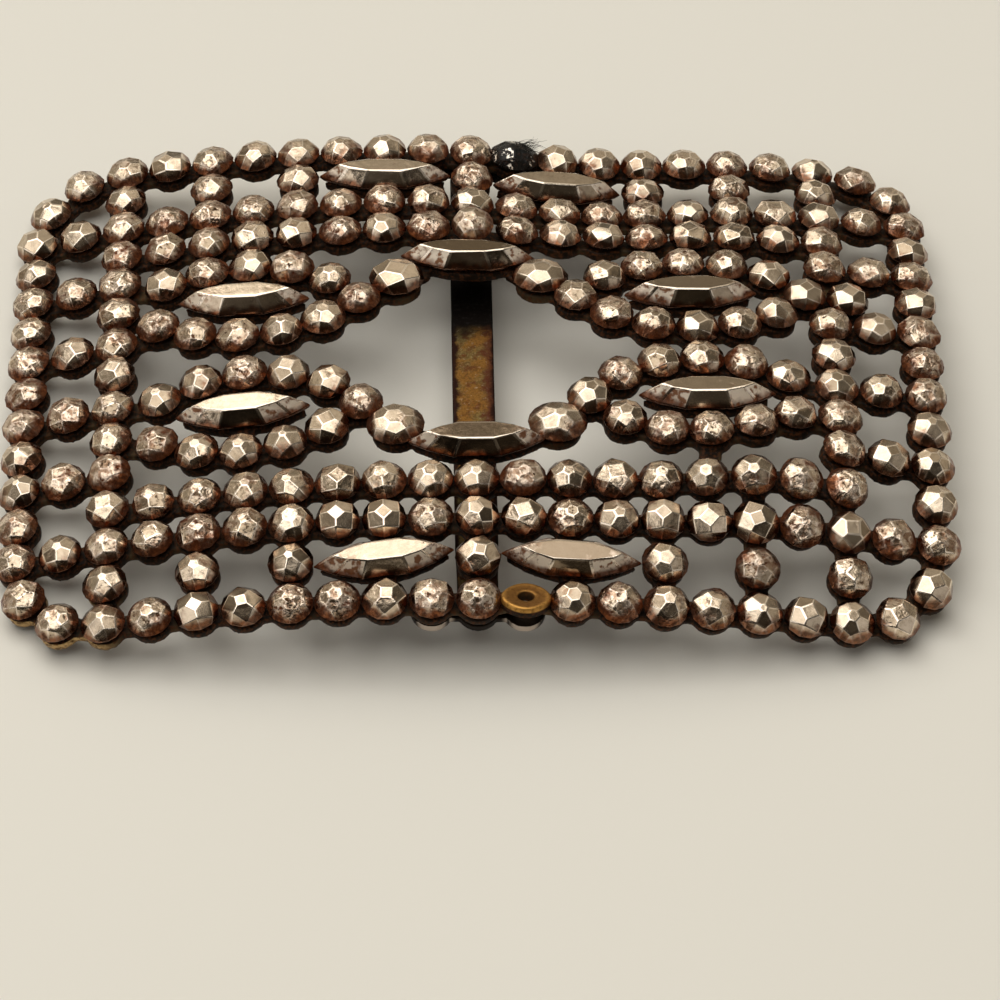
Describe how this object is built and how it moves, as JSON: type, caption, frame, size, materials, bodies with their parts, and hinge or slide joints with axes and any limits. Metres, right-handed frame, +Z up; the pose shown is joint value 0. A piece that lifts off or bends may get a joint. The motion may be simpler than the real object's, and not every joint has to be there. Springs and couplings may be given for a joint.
{
  "type": "cut steel belt buckle",
  "caption": "Rectangular domed slide buckle for a belt: faceted steel studs and long pointed steel stones riveted through a pierced brass plate, with a plain centre bar behind it.",
  "frame": {"origin": "under the middle of the buckle, on the surface that it lies on", "axes": "+Z up out of the face, +X along the long edges, +Y from the front long edge to the rear one, along the centre bar"},
  "size_m": [0.0754, 0.0538, 0.0095],
  "materials": {
    "plate_brass": "dull dark brass with rust stains",
    "bar_brass": "mottled brown aged brass",
    "cut_steel": "polished facets with pits and orange rust in the gaps",
    "long_stone_steel": "polished facets with rust at the tips",
    "black_coating": "crusted black tarnish"
  },
  "bodies": {
    "root": {"plate": "plate_brass", "centre_bar": "bar_brass", "front_edge_studs": "cut_steel", "rear_edge_studs": "cut_steel", "left_edge_studs": "cut_steel", "right_edge_studs": "cut_steel", "front_outer_row_studs": "cut_steel", "front_inner_row_studs": "cut_steel", "rear_outer_row_studs": "cut_steel", "rear_inner_row_studs": "cut_steel", "front_link_studs": "cut_steel", "rear_link_studs": "cut_steel", "left_link_studs": "cut_steel", "right_link_studs": "cut_steel", "left_inner_line_studs": "cut_steel", "right_inner_line_studs": "cut_steel", "front_left_ring_studs": "cut_steel", "front_right_ring_studs": "cut_steel", "rear_left_ring_studs": "cut_steel", "rear_right_ring_studs": "cut_steel", "front_left_waist_stud": "cut_steel", "front_right_waist_stud": "cut_steel", "rear_left_waist_stud": "cut_steel", "rear_right_waist_stud": "cut_steel", "front_left_ring_navette": "long_stone_steel", "front_right_ring_navette": "long_stone_steel", "rear_left_ring_navette": "long_stone_steel", "rear_right_ring_navette": "long_stone_steel", "front_centre_navette": "long_stone_steel", "rear_centre_navette": "long_stone_steel", "front_left_edge_navette": "long_stone_steel", "front_right_edge_navette": "long_stone_steel", "rear_left_edge_navette": "long_stone_steel", "rear_right_edge_navette": "long_stone_steel", "blackened_stud": "black_coating", "crooked_stud": "cut_steel"}
  },
  "joints": []
}
